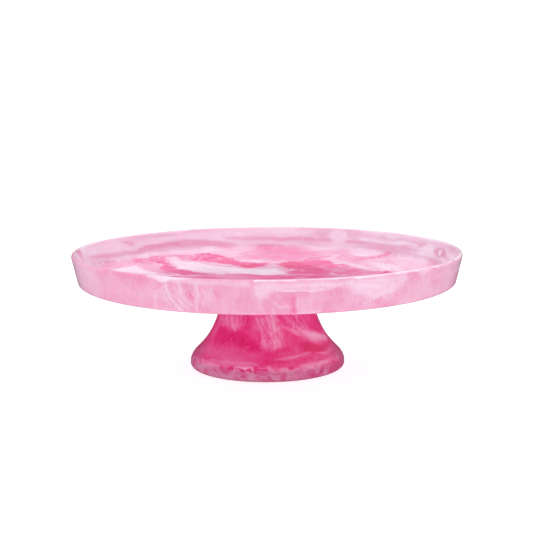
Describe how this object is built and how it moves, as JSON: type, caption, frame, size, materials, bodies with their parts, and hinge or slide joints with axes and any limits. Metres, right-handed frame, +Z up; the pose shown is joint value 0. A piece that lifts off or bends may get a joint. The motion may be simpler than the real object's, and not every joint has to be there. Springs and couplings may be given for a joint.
{
  "type": "cake stand",
  "caption": "Round pedestal cake stand: a shallow dish with a raised flared rim on a solid flared foot, cast in marbled translucent resin.",
  "frame": {"origin": "on the table, at the centre of the foot's underside, level with the bottom of the non-slip pads", "axes": "+Z up along the stand's own axis of rotation; X and Y are alike, with the pads on the diagonals between them"},
  "size_m": [0.3, 0.3, 0.0925],
  "materials": {
    "dish_resin": "polished translucent resin, pale pink marbled with white and hot pink",
    "foot_resin": "polished translucent resin, deep magenta pink veiled with paler pink",
    "clear_adhesive": "cured clear resin adhesive",
    "clear_silicone": "clear soft silicone, satin"
  },
  "bodies": {
    "root": {"plate": "dish_resin", "pedestal": "foot_resin", "bond_layer": "clear_adhesive", "non_slip_pad_1": "clear_silicone", "non_slip_pad_2": "clear_silicone", "non_slip_pad_3": "clear_silicone", "non_slip_pad_4": "clear_silicone"}
  },
  "joints": []
}
